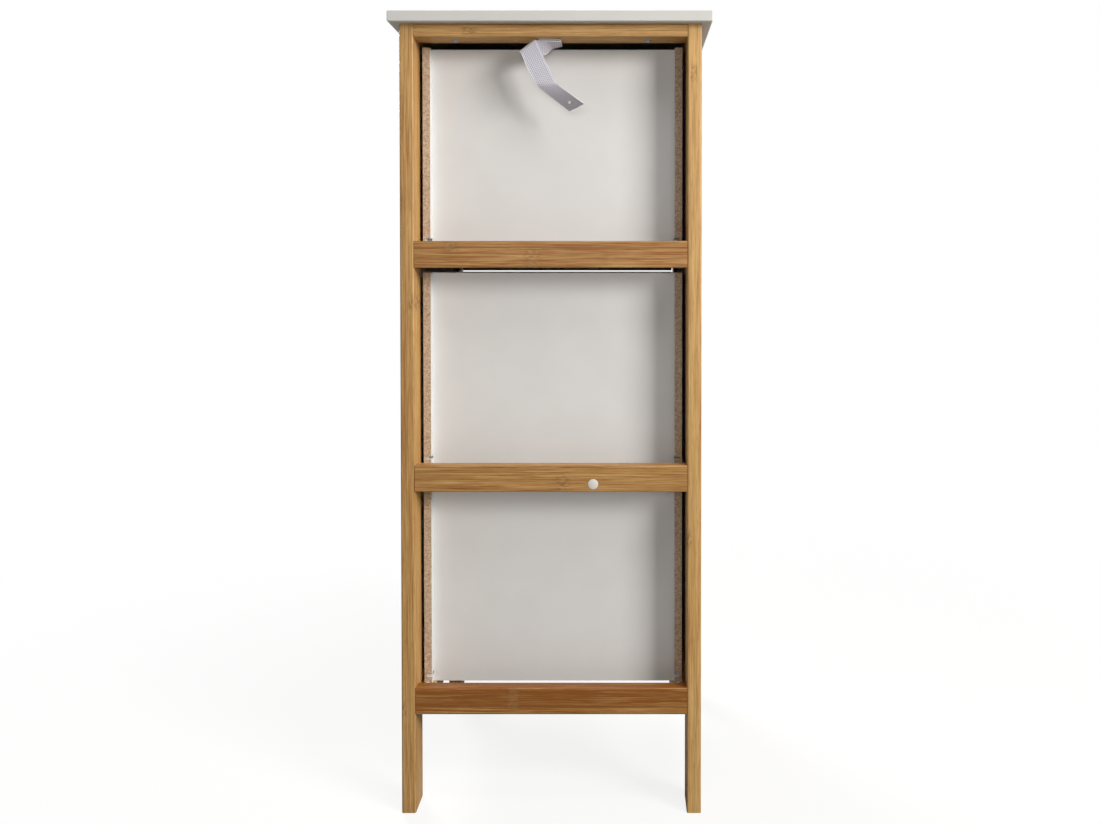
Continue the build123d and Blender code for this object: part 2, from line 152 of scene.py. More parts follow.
def add_node(material, kind, values=None):
    """Adds a node to a material or world. Each value is a setting of the node, or an input by name or
    number. An input takes a plain value, an output, or a node, whose first output it takes."""
    node = material.node_tree.nodes.new(kind)
    for name, value in (values or {}).items():
        if isinstance(value, bpy.types.Node):
            value = value.outputs[0]
        if isinstance(value, bpy.types.NodeSocket):
            material.node_tree.links.new(value, node.inputs[name])
        elif isinstance(name, int) or name in node.inputs:
            node.inputs[name].default_value = value
        else:
            setattr(node, name, value)
    return node


def new_material(name):
    """An empty node-based material."""
    material = bpy.data.materials.new(name)
    material.use_nodes = True
    material.node_tree.nodes.clear()
    return material


def finish_with(material, values, height, bump_distance):
    """Ends a material in a Principled shader, with a bump of a real height."""
    bump = add_node(material, "ShaderNodeBump",
                    {"Strength": 1.0, "Distance": bump_distance, "Height": height})
    shader = add_node(material, "ShaderNodeBsdfPrincipled", {**values, "Normal": bump})
    add_node(material, "ShaderNodeOutputMaterial", {"Surface": shader})
    return material


def dimming(material, amount, colour, share):
    """A colour that dims to a share of its light as an amount goes from 0 to 1."""
    dim = [channel * share for channel in colour[:3]] + [1.0]
    return add_node(material, "ShaderNodeMix",
                    {"data_type": "RGBA", 0: amount, 6: colour, 7: dim}).outputs[2]


def grain_noise(material, place, along_mm, across_mm, detail):
    """Noise drawn out along the first axis of a place, in marks of a real length and width."""
    scale = (1 / (along_mm * MM), 1 / (across_mm * MM), 1 / (across_mm * MM))
    scaled = add_node(material, "ShaderNodeVectorMath", {"operation": "MULTIPLY", 0: place, 1: scale})
    return add_node(material, "ShaderNodeTexNoise",
                    {"Scale": 1.0, "Detail": detail, "Roughness": 0.55, "Vector": scaled})


# For each direction of the grain, the axes along it, across the strips and through the piece
GRAIN_AXES = {"X": ("X", "Z", "Y"), "Y": ("Y", "Z", "X"), "Z": ("Z", "X", "Y")}
STRIP_DEPTH = 2.2           # depth of a glued strip, in strip widths
STEM_STRETCH = 3.0          # metres of stem that the strips are cut from

# A knuckle is full near its middle and gone at its reach along the grain, with a short edge across
KNUCKLE_MIDDLE = 3 * MM
KNUCKLE_REACH = 13 * MM
KNUCKLE_EDGE = 0.5 * MM
SWIRL_MM = {"X": (5.0, 1.1), "Y": (1.5, 1.5), "Z": (1.1, 5.0)}   # its marks along X and across it


def knuckle_shares(material, along, across, knuckles):
    """How much of a knuckle is where, from 0 to 1. Each knuckle has a place along the grain, a
    middle across it and a half width, in metres."""
    shares = 0.0
    for along_at, across_at, half_width in knuckles:
        share = 1.0
        for place, middle, outer, inner in ((along, along_at, KNUCKLE_REACH, KNUCKLE_MIDDLE),
                                            (across, across_at, half_width + KNUCKLE_EDGE, half_width)):
            offset = add_node(material, "ShaderNodeMath", {"operation": "SUBTRACT", 0: place, 1: middle})
            distance = add_node(material, "ShaderNodeMath", {"operation": "ABSOLUTE", 0: offset})
            fade = add_node(material, "ShaderNodeMapRange",
                            {"interpolation_type": "SMOOTHSTEP", "Value": distance,
                             "From Min": outer, "From Max": inner})
            share = add_node(material, "ShaderNodeMath", {"operation": "MULTIPLY", 0: share, 1: fade})
        shares = add_node(material, "ShaderNodeMath", {"operation": "MAXIMUM", 0: shares, 1: share})
    return shares


def bamboo(name, grain, strip_mm, seed, knuckles, tone):
    """Side-pressed bamboo, planed, sanded and clear-lacquered: strips of slightly different tone,
    fine straight fibres, short dark bundles, and mottled knuckles across a strip."""
    colours = bpy.context.scene.chest_colours
    material = new_material(name)
    surface = add_node(material, "ShaderNodeTexCoord").outputs["Object"]
    split = add_node(material, "ShaderNodeSeparateXYZ", {0: surface})
    along, across, through = (split.outputs[axis] for axis in GRAIN_AXES[grain])

    # Each glued strip has its own tone and its own stretch of stem
    cell = {2: seed}
    for index, (place, size_mm) in enumerate(((across, strip_mm), (through, STRIP_DEPTH * strip_mm))):
        count = add_node(material, "ShaderNodeMath", {"operation": "DIVIDE", 0: place, 1: size_mm * MM})
        cell[index] = add_node(material, "ShaderNodeMath", {"operation": "FLOOR", 0: count})
    strip = add_node(material, "ShaderNodeCombineXYZ", cell)
    chance = add_node(material, "ShaderNodeTexWhiteNoise", {"noise_dimensions": "3D", "Vector": strip})
    shifted = add_node(material, "ShaderNodeMath",
                       {"operation": "MULTIPLY_ADD", 0: chance, 1: STEM_STRETCH, 2: along})
    stem = add_node(material, "ShaderNodeCombineXYZ", {0: shifted, 1: across, 2: through})

    # Marks of the stem, each with its length and width in millimetres and its weight in the tone
    broad = grain_noise(material, stem, 260, 6.0, 2.0)
    streaks = grain_noise(material, stem, 70, 1.7, 3.0)
    fibres = grain_noise(material, stem, 28, 0.7, 2.0)
    marks = ((broad, 0.7), (streaks, 1.5), (fibres, 0.9), (chance, 0.3))
    tonal = tone - sum(weight for _, weight in marks) / 2
    for mark, weight in marks:
        tonal = add_node(material, "ShaderNodeMath",
                         {"operation": "MULTIPLY_ADD", 0: mark, 1: weight, 2: tonal})
    wood = add_node(material, "ShaderNodeMix",
                    {"data_type": "RGBA", 0: tonal, 6: colours.bamboo_light,
                     7: colours.bamboo_dark}).outputs[2]

    # Dark fibre bundles, and the dark swirl and faint pale core of each knuckle
    bundles = add_node(material, "ShaderNodeMapRange",
                       {"interpolation_type": "SMOOTHSTEP", "From Min": 0.6, "From Max": 0.72,
                        "To Max": 0.35, "Value": grain_noise(material, stem, 16, 0.9, 1.0)})
    dark_parts = [bundles]
    if knuckles:
        swirl = add_node(material, "ShaderNodeMapRange",
                         {"interpolation_type": "SMOOTHSTEP", "From Min": 0.42, "From Max": 0.6,
                          "To Max": 0.62, "Value": grain_noise(material, surface, *SWIRL_MM[grain], 3.0)})
        shares = knuckle_shares(material, along, across, knuckles)
        dark_parts.append(add_node(material, "ShaderNodeMath",
                                   {"operation": "MULTIPLY", 0: shares, 1: swirl}))
    for dark_part in dark_parts:
        wood = add_node(material, "ShaderNodeMix",
                        {"data_type": "RGBA", 0: dark_part, 6: wood,
                         7: colours.bamboo_knuckle}).outputs[2]
    if knuckles:
        core = add_node(material, "ShaderNodeMath", {"operation": "POWER", 0: shares, 1: 4.0})
        pale = add_node(material, "ShaderNodeMath", {"operation": "MULTIPLY", 0: core, 1: 0.1})
        wood = add_node(material, "ShaderNodeMix",
                        {"data_type": "RGBA", 0: pale, 6: wood, 7: colours.bamboo_light}).outputs[2]
    relief = add_node(material, "ShaderNodeMath", {"operation": "ADD", 0: streaks, 1: fibres})
    return finish_with(material, {"Roughness": 0.46, "IOR": 1.5, "Base Color": wood}, relief, 0.12 * MM)


def board_surface(name, colour, grain_mm, roughness, bump_distance):
    """A painted, foiled or melamine face: one colour, faint mottling and the fine texture that the
    press plate or the roller leaves."""
    material = new_material(name)
    surface = add_node(material, "ShaderNodeTexCoord").outputs["Object"]
    peel = grain_noise(material, surface, grain_mm, grain_mm, 3.0)
    cloud = add_node(material, "ShaderNodeMapRange",
                     {"interpolation_type": "SMOOTHSTEP", "From Min": 0.35, "From Max": 0.65,
                      "Value": grain_noise(material, surface, 60, 60, 2.0)})
    tinted = dimming(material, cloud, colour, 0.975)
    return finish_with(material, {"Roughness": roughness, "IOR": 1.5, "Base Color": tinted},
                       peel, bump_distance)


def chipboard():
    """Raw sawn chipboard end: pressed wood chips a millimetre or two wide, pale and dark."""
    colours = bpy.context.scene.chest_colours
    material = new_material("raw_chipboard_end")
    surface = add_node(material, "ShaderNodeTexCoord").outputs["Object"]
    chips = add_node(material, "ShaderNodeTexVoronoi", {"Scale": 1 / (1.5 * MM), "Vector": surface})
    chance = add_node(material, "ShaderNodeSeparateColor", {0: chips.outputs["Color"]})
    dust = add_node(material, "ShaderNodeMath",
                    {"operation": "MULTIPLY", 0: grain_noise(material, surface, 0.8, 0.8, 2.0), 1: 0.35})
    amount = add_node(material, "ShaderNodeMath",
                      {"operation": "MULTIPLY_ADD", 0: chance, 1: 0.55, 2: dust})
    wood = add_node(material, "ShaderNodeMix",
                    {"data_type": "RGBA", 0: amount, 6: colours.chip_light,
                     7: colours.chip_dark}).outputs[2]
    return finish_with(material, {"Roughness": 0.9, "Base Color": wood}, amount, 0.4 * MM)


def raw_hardboard():
    """Brown underside of hardboard, with the mesh of the press a millimetre apart."""
    material = new_material("raw_hardboard_underside")
    surface = add_node(material, "ShaderNodeTexCoord").outputs["Object"]
    screen = add_node(material, "ShaderNodeTexVoronoi",
                      {"feature": "F1", "Scale": 1 / (1.2 * MM), "Randomness": 0.15, "Vector": surface})
    fibre = grain_noise(material, surface, 6, 3, 3.0)
    brown = dimming(material, fibre, bpy.context.scene.chest_colours.hardboard, 0.55)
    return finish_with(material, {"Roughness": 0.75, "Base Color": brown}, screen, 0.2 * MM)


def birch_wood():
    """Turned birch dowel: pale, with faint short fibres."""
    material = new_material("birch_dowel_wood")
    surface = add_node(material, "ShaderNodeTexCoord").outputs["Object"]
    fibre = grain_noise(material, surface, 9, 0.7, 2.0)
    pale = dimming(material, fibre, bpy.context.scene.chest_colours.birch, 0.7)
    return finish_with(material, {"Roughness": 0.7, "Base Color": pale}, fibre, 0.1 * MM)


def zinc_plated_steel():
    """Cold-headed screw steel under thin zinc: bright, slightly clouded, half glossy."""
    material = new_material("zinc_plated_steel")
    surface = add_node(material, "ShaderNodeTexCoord").outputs["Object"]
    cloud = grain_noise(material, surface, 1.5, 1.5, 2.0)
    rough = add_node(material, "ShaderNodeMapRange", {"To Min": 0.28, "To Max": 0.46, "Value": cloud})
    metal = dimming(material, cloud, bpy.context.scene.chest_colours.steel, 0.8)
    return finish_with(material, {"Metallic": 1.0, "Base Color": metal, "Roughness": rough},
                       cloud, 0.03 * MM)


def moulded_nylon():
    """Injection-moulded nylon: white, faintly waxy, with a fine spark-eroded texture."""
    material = new_material("moulded_nylon")
    surface = add_node(material, "ShaderNodeTexCoord").outputs["Object"]
    grit = grain_noise(material, surface, 0.5, 0.5, 2.0)
    white = dimming(material, grit, bpy.context.scene.chest_colours.nylon, 0.95)
    return finish_with(material, {"Roughness": 0.5, "IOR": 1.53, "Base Color": white}, grit, 0.05 * MM)


def matte_paper():
    """Uncoated paper: matte, with faint short fibres."""
    material = new_material("matte_paper")
    surface = add_node(material, "ShaderNodeTexCoord").outputs["Object"]
    fibre = grain_noise(material, surface, 1.2, 0.4, 3.0)
    white = dimming(material, fibre, bpy.context.scene.chest_colours.paper, 0.93)
    return finish_with(material, {"Roughness": 0.85, "Base Color": white}, fibre, 0.05 * MM)


# Width of the painted highlight along each edge of the webbing
EDGE_HIGHLIGHT_WIDTH = 1.0 * MM


def woven_webbing():
    """Polyester webbing, twill woven: small floats where two sets of diagonals cross, with painted shade in
    the hollows between them and a painted highlight along both edges. The threads are 0.4 mm, so the floats
    are drawn coarser, to show."""
    scene = bpy.context.scene
    colours = scene.chest_colours
    material = new_material("woven_polyester_webbing")
    weave = add_node(material, "ShaderNodeUVMap", {"uv_map": "weave"})
    split = add_node(material, "ShaderNodeSeparateXYZ", {0: weave})
    across, along = split.outputs[0], split.outputs[1]
    waves = []
    for operation in ("ADD", "SUBTRACT"):
        diagonal = add_node(material, "ShaderNodeMath", {"operation": operation, 0: along, 1: across})
        angle = add_node(material, "ShaderNodeMath",
                         {"operation": "MULTIPLY", 0: diagonal, 1: math.pi / scene.chest_sizes.webbing_rib})
        waves.append(add_node(material, "ShaderNodeMath", {"operation": "SINE", 0: angle}))
    crossing = add_node(material, "ShaderNodeMath", {"operation": "MULTIPLY", 0: waves[0], 1: waves[1]})
    float_height_and_painted_shade = add_node(material, "ShaderNodeMapRange",
                            {"interpolation_type": "SMOOTHSTEP", "From Min": -0.7, "From Max": 0.5,
                             "Value": crossing})
    offset = add_node(material, "ShaderNodeMath",
                      {"operation": "SUBTRACT", 0: across, 1: STRAP_WIDTH / 2})
    from_middle = add_node(material, "ShaderNodeMath", {"operation": "ABSOLUTE", 0: offset})
    # Painted highlight: a bright band along both edges of the webbing
    edge_highlight = add_node(material, "ShaderNodeMapRange",
                        {"interpolation_type": "SMOOTHSTEP", "Value": from_middle,
                         "From Min": STRAP_WIDTH / 2 - 1.4 * EDGE_HIGHLIGHT_WIDTH,
                         "From Max": STRAP_WIDTH / 2 - 0.6 * EDGE_HIGHLIGHT_WIDTH})
    # Painted shade: the colour between the floats is dimmed to stand for the shade in the hollows of the
    # weave, on top of the real bump
    dim = [channel * 0.68 for channel in colours.webbing[:3]] + [1.0]
    cloth = add_node(material, "ShaderNodeMix",
                     {"data_type": "RGBA", 0: float_height_and_painted_shade, 6: dim, 7: colours.webbing}).outputs[2]
    edged = add_node(material, "ShaderNodeMix",
                     {"data_type": "RGBA", 0: edge_highlight, 6: cloth, 7: colours.edge_highlight}).outputs[2]
    return finish_with(material, {"Roughness": 0.72, "Sheen Weight": 0.15, "Base Color": edged},
                       float_height_and_painted_shade, 0.3 * MM)


def dress(material, *nodes):
    """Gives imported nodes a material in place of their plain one."""
    for node in nodes:
        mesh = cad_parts[node].data
        mesh.materials.clear()
        mesh.materials.append(material)


def dress_faces(material, node, chosen):
    """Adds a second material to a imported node, on the faces whose normal is chosen."""
    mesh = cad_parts[node].data
    mesh.materials.append(material)
    for face in mesh.polygons:
        if chosen(face.normal):
            face.material_index = len(mesh.materials) - 1


SHARP_ANGLE = math.radians(35)


def finish_piece(shape, name, body, material, replaced):
    """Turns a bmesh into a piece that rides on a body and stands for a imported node."""
    bmesh.ops.remove_doubles(shape, verts=shape.verts, dist=0.001 * MM)
    bmesh.ops.recalc_face_normals(shape, faces=shape.faces)
    for face in shape.faces:
        face.smooth = True
    for edge in shape.edges:
        edge.smooth = edge.is_boundary or edge.calc_face_angle(0.0) < SHARP_ANGLE
    mesh = bpy.data.meshes.new(name)
    shape.to_mesh(mesh)
    shape.free()
    piece = bpy.data.objects.new(name, mesh)
    bpy.context.scene.collection.objects.link(piece)
    mesh.materials.append(material)
    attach(piece, body)
    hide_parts(replaced)
    return piece


def aimed(place, direction):
    """The matrix that puts local Z along a direction at a place."""
    turn = Vector(direction).to_track_quat("Z", "Y").to_matrix().to_4x4()
    return Matrix.Translation(place) @ turn


def turned_piece(shape, profile, matrix, steps=32):
    """Adds a solid turned from a profile of (radius, height) about local Z to a bmesh, at its place."""
    part = bmesh.new()
    verts = [part.verts.new((radius, 0.0, height)) for radius, height in profile]
    edges = [part.edges.new(pair) for pair in zip(verts, verts[1:])]
    bmesh.ops.spin(part, geom=verts + edges, cent=(0, 0, 0), axis=(0, 0, 1), angle=2 * math.pi,
                   steps=steps, use_merge=True)
    bmesh.ops.remove_doubles(part, verts=part.verts, dist=0.001 * MM)
    bmesh.ops.transform(part, matrix=matrix, verts=part.verts)
    join(shape, part)


def join(shape, part):
    """Adds one bmesh to another and frees it."""
    mesh = bpy.data.meshes.new("joining")
    part.to_mesh(mesh)
    part.free()
    shape.from_mesh(mesh)
    bpy.data.meshes.remove(mesh)


def hexagon(radius):
    """Corners of a hexagonal socket."""
    return [(radius * math.cos(math.radians(60 * i)), radius * math.sin(math.radians(60 * i)))
            for i in range(6)]


def cross(reach, half_width):
    """Corners of a cross recess."""
    arm = [(reach, -half_width), (reach, half_width), (half_width, half_width)]
    corners = []
    for quarter in range(4):
        cosine, sine = math.cos(quarter * math.pi / 2), math.sin(quarter * math.pi / 2)
        corners += [(x * cosine - y * sine, x * sine + y * cosine) for x, y in arm]
    return corners


HEAD_SIDES = 24


def recessed_screw(shape, rings, outline, depth, taper, shank, matrix):
    """A screw or bolt: its head is the rings of (radius, height) from the rim of the recess down,
    with a recess of the outline's shape, and a shank of (radius, length) below."""
    part = bmesh.new()
    (radius, height), last_height = rings[0], rings[-1][1]
    mouth = [part.verts.new((x, y, height)) for x, y in outline]
    mouth_edges = [part.edges.new(pair) for pair in zip(mouth, mouth[1:] + mouth[:1])]
    rim = bmesh.ops.create_circle(part, segments=HEAD_SIDES, radius=radius,
                                  matrix=Matrix.Translation((0, 0, height)))["verts"]
    loop = list({edge for vert in rim for edge in vert.link_edges})
    bmesh.ops.bridge_loops(part, edges=mouth_edges + loop)

    # The recess goes in from the mouth, and the head and shank go down from the rim
    floor_edges = extruded(part, mouth_edges, taper, -depth)
    bmesh.ops.edgenet_fill(part, edges=floor_edges)
    for next_radius, next_height in (*rings[1:], (shank[0], last_height),
                                     (shank[0], last_height - shank[1])):
        loop = extruded(part, loop, next_radius / radius, next_height - height)
        radius, height = next_radius, next_height
    bmesh.ops.edgenet_fill(part, edges=loop)
    bmesh.ops.recalc_face_normals(part, faces=part.faces)
    bmesh.ops.transform(part, matrix=matrix, verts=part.verts)
    join(shape, part)


def extruded(part, edges, ratio, rise):
    """Extrudes a loop of edges, scales it about Z and raises it. Gives the new loop."""
    grown = bmesh.ops.extrude_edge_only(part, edges=edges)["geom"]
    verts = [item for item in grown if isinstance(item, bmesh.types.BMVert)]
    loop = [item for item in grown if isinstance(item, bmesh.types.BMEdge)
            and all(vert in verts for vert in item.verts)]
    bmesh.ops.scale(part, vec=(ratio, ratio, 1.0), verts=verts)
    bmesh.ops.translate(part, vec=(0, 0, rise), verts=verts)
    return loop


# Pan-head screws, in millimetres: the head's rings of (radius, height) from the recess down, the
# recess's reach and half width, its depth, and the shank's radius
PAN_SCREWS = {
    "knob": ([(2.9, 2.4), (3.6, 1.8), (4.0, 0.9), (4.0, 0.0)], (1.9, 0.45), 1.3, 2.0),
    "board": ([(2.9, 1.8), (3.7, 1.3), (4.2, 0.5), (4.2, 0.0)], (2.0, 0.5), 1.3, 1.75),
    "strap": ([(2.4, 1.2), (3.1, 0.9), (3.5, 0.3), (3.5, 0.0)], (1.7, 0.4), 0.9, 1.75),
}


def head_height(kind):
    """How far a pan head stands above its seat."""
    return PAN_SCREWS[kind][0][0][1] * MM


def pan_screw(shape, kind, length, matrix):
    """A pan-head screw with a cross recess, of a whole length, seated at its matrix."""
    rings, (reach, half_width), depth, shank_radius = PAN_SCREWS[kind]
    recessed_screw(shape, [(radius * MM, height * MM) for radius, height in rings],
                   cross(reach * MM, half_width * MM), depth * MM, 0.6,
                   (shank_radius * MM, length - head_height(kind)), matrix)


def countersunk_screw(shape, length, matrix):
    """A countersunk screw, 3.5 mm, with its head level with the wood."""
    rings = [(3.3 * MM, 0.0), (3.5 * MM, -0.1 * MM), (1.75 * MM, -2.2 * MM)]
    recessed_screw(shape, rings, cross(1.9 * MM, 0.45 * MM), 1.4 * MM, 0.55,
                   (1.75 * MM, length - 2.2 * MM), matrix)


def solids_of(node):
    """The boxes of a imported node's separate solids, lowest and highest corner of each."""
    copy = bmesh.new()
    copy.from_mesh(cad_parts[node].data)
    bmesh.ops.remove_doubles(copy, verts=copy.verts, dist=0.01 * MM)
    boxes, left = [], set(copy.verts)
    while left:
        group, front = set(), {left.pop()}
        while front:
            group |= front
            front = {edge.other_vert(v) for v in front for edge in v.link_edges} - group
        left -= group
        places = [v.co for v in group]
        boxes.append((Vector([min(p[i] for p in places) for i in range(3)]),
                      Vector([max(p[i] for p in places) for i in range(3)])))
    copy.free()
    return sorted(boxes, key=lambda box: tuple(box[0]))


class ChestOperator:
    """What the chest's operators share."""

    bl_options = {"REGISTER", "UNDO"}


class CHEST_OT_bamboo_frame(ChestOperator, bpy.types.Operator):
    """Lacquered bamboo on the legs and rails"""

    bl_idname = "chest.bamboo_frame"
    bl_label = "Bamboo frame"

    def execute(self, context):
        # Knuckles seen on the rear rails and legs: place along the grain, across it, half width
        rails = {
            "rear_top_rail": (3.0, [(0.090, 0.880, 0.004)], 0.3),
            "rear_upper_rail": (11.0, [(0.112, 0.6395, 0.0055), (0.020, 0.626, 0.0095)], 0.72),
            "rear_middle_rail": (17.0, [(-0.0132, 0.374, 0.008)], 0.65),
            "rear_lower_rail": (23.0, [(0.0425, 0.130, 0.0115)], 0.88),
            "front_top_rail": (29.0, [(-0.06, 0.880, 0.005)], 0.4),
            "front_bottom_rail": (31.0, [(0.07, 0.10, 0.009)], 0.6),
        }
        for node, (seed, knuckles, tone) in rails.items():
            dress(bamboo(f"lacquered_bamboo_{node}", "X", 15.0, seed, knuckles, tone), node)
        legs = {
            "rear_right_leg": (5.0, [(0.577, 0.156, 0.003), (0.12, 0.166, 0.003)]),
            "rear_left_leg": (7.0, [(0.833, -0.160, 0.0035), (0.31, -0.155, 0.003)]),
            "front_right_leg": (9.0, [(0.44, 0.165, 0.003)]),
            "front_left_leg": (13.0, [(0.66, -0.165, 0.003)]),
        }
        for node, (seed, knuckles) in legs.items():
            dress(bamboo(f"lacquered_bamboo_{node}", "Z", 5.4, seed, knuckles, 0.28), node)
        side_rails = bamboo("lacquered_bamboo_side_rails", "Y", 10.0, 41.0,
                            [(0.06, 0.120, 0.006), (-0.05, 0.880, 0.005)], 0.4)
        for side in SIDES:
            dress(side_rails, f"{side}_side_top_rail", f"{side}_side_bottom_rail")
        return {"FINISHED"}


class CHEST_OT_boards(ChestOperator, bpy.types.Operator):
    """Grey melamine on the top board and white paint on the side panels"""

    bl_idname = "chest.boards"
    bl_label = "Top board and side panels"

    def execute(self, context):
        colours = context.scene.chest_colours
        dress(board_surface("grey_melamine", colours.laminate, 0.9, 0.5, 0.00006), "top_board")
        paint = board_surface("rolled_white_paint", colours.panel, 1.4, 0.55, 0.00008)
        for side in SIDES:
            dress(paint, f"{side}_side_panel")
        return {"FINISHED"}


class CHEST_OT_drawer_boxes(ChestOperator, bpy.types.Operator):
    """White foil, raw chipboard ends and hardboard bottoms on the drawers"""

    bl_idname = "chest.drawer_boxes"
    bl_label = "Drawer boxes"

    def execute(self, context):
        colours = context.scene.chest_colours
        foil = board_surface("white_foil", colours.panel, 1.1, 0.5, 0.00005)
        lacquer = board_surface("satin_white_lacquer", colours.lacquer, 1.8, 0.34, 0.00005)
        raw = chipboard()
        brown = raw_hardboard()
        for drawer in DRAWERS:
            dress(lacquer, f"{drawer}_front")
            dress(foil, f"{drawer}_back", f"{drawer}_bottom", f"{drawer}_left_side",
                  f"{drawer}_right_side")
            for side in SIDES:
                dress_faces(raw, f"{drawer}_{side}_side", lambda normal: abs(normal.y) > 0.9)
            dress_faces(brown, f"{drawer}_bottom", lambda normal: normal.z < -0.9)
        return {"FINISHED"}


class CHEST_OT_knobs(ChestOperator, bpy.types.Operator):
    """Turned bamboo knobs, with their screws inside the fronts"""

    bl_idname = "chest.knobs"
    bl_label = "Knobs"

    def execute(self, context):
        sizes = context.scene.chest_sizes
        wood = bamboo("lacquered_bamboo_knobs", "Z", 7.5, 53.0, (), 0.35)
        steel = zinc_plated_steel()
        for drawer in DRAWERS:
            low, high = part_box(f"{drawer}_knob")
            middle = (low + high) / 2
            radius, reach = (high.x - low.x) / 2, high.y - low.y
            neck, edge = sizes.knob_neck, sizes.knob_edge
            head_start, rim_end = reach - 12 * MM, reach - edge - 0.6 * MM
            profile = [(0.0, 0.0), (neck - 0.3 * MM, 0.0), (neck, 0.4 * MM), (neck - 0.6 * MM, 5 * MM),
                       (neck, 8.5 * MM), (neck + 2.4 * MM, head_start - 0.9 * MM),
                       (radius - edge, head_start + 0.4 * MM), (radius - 0.9 * MM, head_start + 1.2 * MM),
                       (radius, head_start + edge)]
            for degrees in range(0, 91, 18):
                angle = math.radians(degrees)
                profile.append((radius - edge + edge * math.cos(angle), rim_end + edge * math.sin(angle)))
            profile += [(radius * 0.45, reach - 0.1 * MM), (0.0, reach)]
            shape = bmesh.new()
            turned_piece(shape, profile, aimed((middle.x, high.y, middle.z), (0, -1, 0)), 48)
            finish_piece(shape, f"{drawer}_turned_knob", drawer, wood, f"{drawer}_knob")
            low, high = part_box(f"{drawer}_knob_screw")
            shape = bmesh.new()
            pan_screw(shape, "knob", high.y - low.y,
                      aimed((middle.x, high.y - head_height("knob"), middle.z), (0, 1, 0)))
            finish_piece(shape, f"{drawer}_knob_pan_screw", drawer, steel,
                         f"{drawer}_knob_screw")
        return {"FINISHED"}


class CHEST_OT_frame_fasteners(ChestOperator, bpy.types.Operator):
    """Frame bolts, board screws, dowels, runner screws and stop pegs"""

    bl_idname = "chest.frame_fasteners"
    bl_label = "Frame fasteners"

    def execute(self, context):
        sizes = context.scene.chest_sizes
        steel, birch, nylon = zinc_plated_steel(), birch_wood(), moulded_nylon()
        dress(birch, "rail_dowels")

        shape = bmesh.new()
        head, head_height = sizes.bolt_head, 3 * MM
        for low, high in solids_of("rail_bolts"):
            side = 1 if high.x > 0 else -1
            middle = (low + high) / 2
            face = high.x if side > 0 else low.x
            recessed_screw(shape, [(head - 0.5 * MM, 0.0), (head, -0.5 * MM), (head, -head_height)],
                           hexagon(sizes.socket), 2 * MM, 0.92, (3 * MM, high.x - low.x - head_height),
                           aimed((face, middle.y, middle.z), (side, 0, 0)))
        finish_piece(shape, "frame_bolts", "chest", steel, "rail_bolts")

        shape = bmesh.new()
        for low, high in solids_of("board_screws"):
            middle = (low + high) / 2
            pan_screw(shape, "board", high.z - low.z,
                      aimed((middle.x, middle.y, TOP_RAIL_UNDERSIDE), (0, 0, -1)))
        finish_piece(shape, "board_pan_screws", "chest", steel, "board_screws")

        shape = bmesh.new()
        for low, high in solids_of("board_dowels"):
            middle = (low + high) / 2
            length, radius = high.z - low.z, 3 * MM
            turned_piece(shape, [(0, 0), (radius - 0.4 * MM, 0), (radius, 0.4 * MM), (radius, length),
                                 (0, length)], aimed((middle.x, middle.y, low.z), (0, 0, 1)))
        finish_piece(shape, "board_round_dowels", "chest", birch, "board_dowels")

        shape = bmesh.new()
        for low, high in solids_of("runner_screws"):
            side = 1 if high.x > 0 else -1
            middle = (low + high) / 2
            face = low.x if side > 0 else high.x
            countersunk_screw(shape, high.x - low.x, aimed((face, middle.y, middle.z), (-side, 0, 0)))
        finish_piece(shape, "runner_countersunk_screws", "chest", steel,
                     "runner_screws")

        shape = bmesh.new()
        for low, high in solids_of("stop_pegs"):
            middle = (low + high) / 2
            length, radius = high.z - low.z, 3 * MM
            turned_piece(shape, [(0, 0), (radius, 0), (radius, length - 0.8 * MM),
                                 (radius - 0.8 * MM, length), (0, length)],
                         aimed((middle.x, middle.y, low.z), (0, 0, 1)))
        finish_piece(shape, "nylon_stop_pegs", "chest", nylon, "stop_pegs")
        return {"FINISHED"}


class CHEST_OT_runners(ChestOperator, bpy.types.Operator):
    """Sanded bamboo runners under the drawer sides"""

    bl_idname = "chest.runners"
    bl_label = "Runners"

    def execute(self, context):
        wood = bamboo("sanded_bamboo_runners", "Y", 6.0, 61.0, (), 0.3)
        for drawer in DRAWERS:
            for side in SIDES:
                dress(wood, f"{drawer}_{side}_runner")
        return {"FINISHED"}


LONG_FASTENER = 20 * MM     # a cam bolt is longer than this along Y, and a back screw along X


class CHEST_OT_drawer_fasteners(ChestOperator, bpy.types.Operator):
    """Cams and their bolts at the drawer fronts, and screws into the drawer backs"""

    bl_idname = "chest.drawer_fasteners"
    bl_label = "Drawer fasteners"

    def execute(self, context):
        steel = zinc_plated_steel()
        for drawer in DRAWERS:
            shape = bmesh.new()
            for low, high in solids_of(f"{drawer}_fasteners"):
                side = 1 if (high.x + low.x) > 0 else -1
                middle, size = (low + high) / 2, high - low
                if size.y > LONG_FASTENER:
                    radius = 2.5 * MM
                    turned_piece(shape, [(0, 0), (radius, 0), (radius, size.y), (0, size.y)],
                                 aimed((middle.x, low.y, middle.z), (0, 1, 0)), 16)
                elif size.x > LONG_FASTENER:
                    face = high.x if side > 0 else low.x
                    countersunk_screw(shape, size.x,
                                      aimed((face, middle.y, middle.z), (side, 0, 0)))
                else:
                    face = low.x if side > 0 else high.x
                    recessed_screw(shape, [(5.6 * MM, 0.0), (6.0 * MM, -0.4 * MM),
                                           (6.0 * MM, -size.x)],
                                   cross(3.4 * MM, 0.7 * MM), 2.2 * MM, 0.7, (5.9 * MM, 0.01 * MM),
                                   aimed((face, middle.y, middle.z), (-side, 0, 0)))
            finish_piece(shape, f"{drawer}_cams_and_screws", drawer, steel,
                         f"{drawer}_fasteners")
        return {"FINISHED"}


